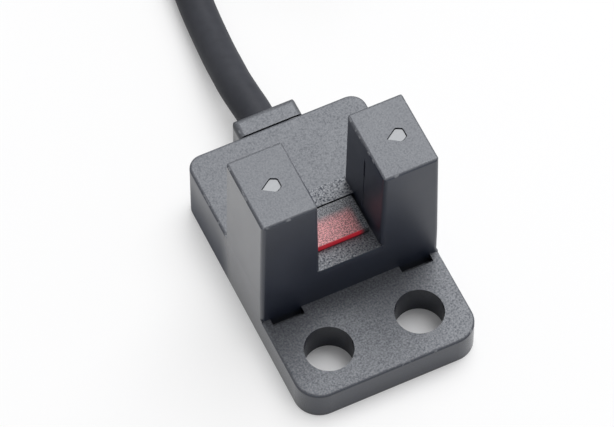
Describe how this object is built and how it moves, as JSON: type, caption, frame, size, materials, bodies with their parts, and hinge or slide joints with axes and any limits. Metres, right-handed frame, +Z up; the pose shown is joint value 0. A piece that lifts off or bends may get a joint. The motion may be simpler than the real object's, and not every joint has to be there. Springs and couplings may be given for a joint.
{
  "type": "slotted optical switch",
  "caption": "Slotted optical switch: a black moulded fork with a light gap, a red indicator lens in the slot's floor, a mounting plate with screw holes and a rear cable.",
  "frame": {"origin": "midway between the two mounting holes, on the mounting surface under the plate", "axes": "X across the slot, +Y from the mounting holes towards the cable, +Z up out of the mounting surface"},
  "size_m": [0.0437, 0.074, 0.0142],
  "materials": {
    "case_plastic": "fine spark-eroded texture, satin sides",
    "cover_plastic": "matt",
    "lens_red": "frosted top, clear red body",
    "mark_grey": "matt",
    "board_green": "satin solder mask",
    "emitter_epoxy": "clear tinted epoxy",
    "receiver_epoxy": "dark epoxy",
    "tinned_metal": "tinned",
    "solder": "smooth",
    "led_white": "smooth",
    "chip_black": "matt",
    "resistor_black": "matt",
    "capacitor_tan": "matt",
    "core_brown": "satin",
    "core_black": "satin",
    "core_blue": "satin",
    "core_pink": "satin",
    "bushing_black": "satin",
    "cable_jacket": "satin",
    "tie_grey": "satin"
  },
  "bodies": {
    "root": {"case": "case_plastic", "bottom_cover": "cover_plastic", "indicator_lens": "lens_red", "axis_marks": "mark_grey", "circuit_board": "board_green", "emitter": "emitter_epoxy", "emitter_leads": "tinned_metal", "receiver": "receiver_epoxy", "receiver_leads": "tinned_metal", "solder_joints": "solder", "indicator_led": "led_white", "control_chip": "chip_black", "control_chip_pins": "tinned_metal", "output_transistor": "chip_black", "output_transistor_pins": "tinned_metal", "chip_resistors": "resistor_black", "chip_capacitors": "capacitor_tan", "core_brown": "core_brown", "core_black": "core_black", "core_blue": "core_blue", "core_pink": "core_pink", "wire_joints": "solder", "cable_bushing": "bushing_black", "cable": "cable_jacket", "cable_coil": "cable_jacket", "coil_ties": "tie_grey", "cable_tail": "cable_jacket", "tail_brown": "core_brown", "tail_black": "core_black", "tail_blue": "core_blue", "tail_pink": "core_pink", "tinned_tips": "tinned_metal"}
  },
  "joints": []
}
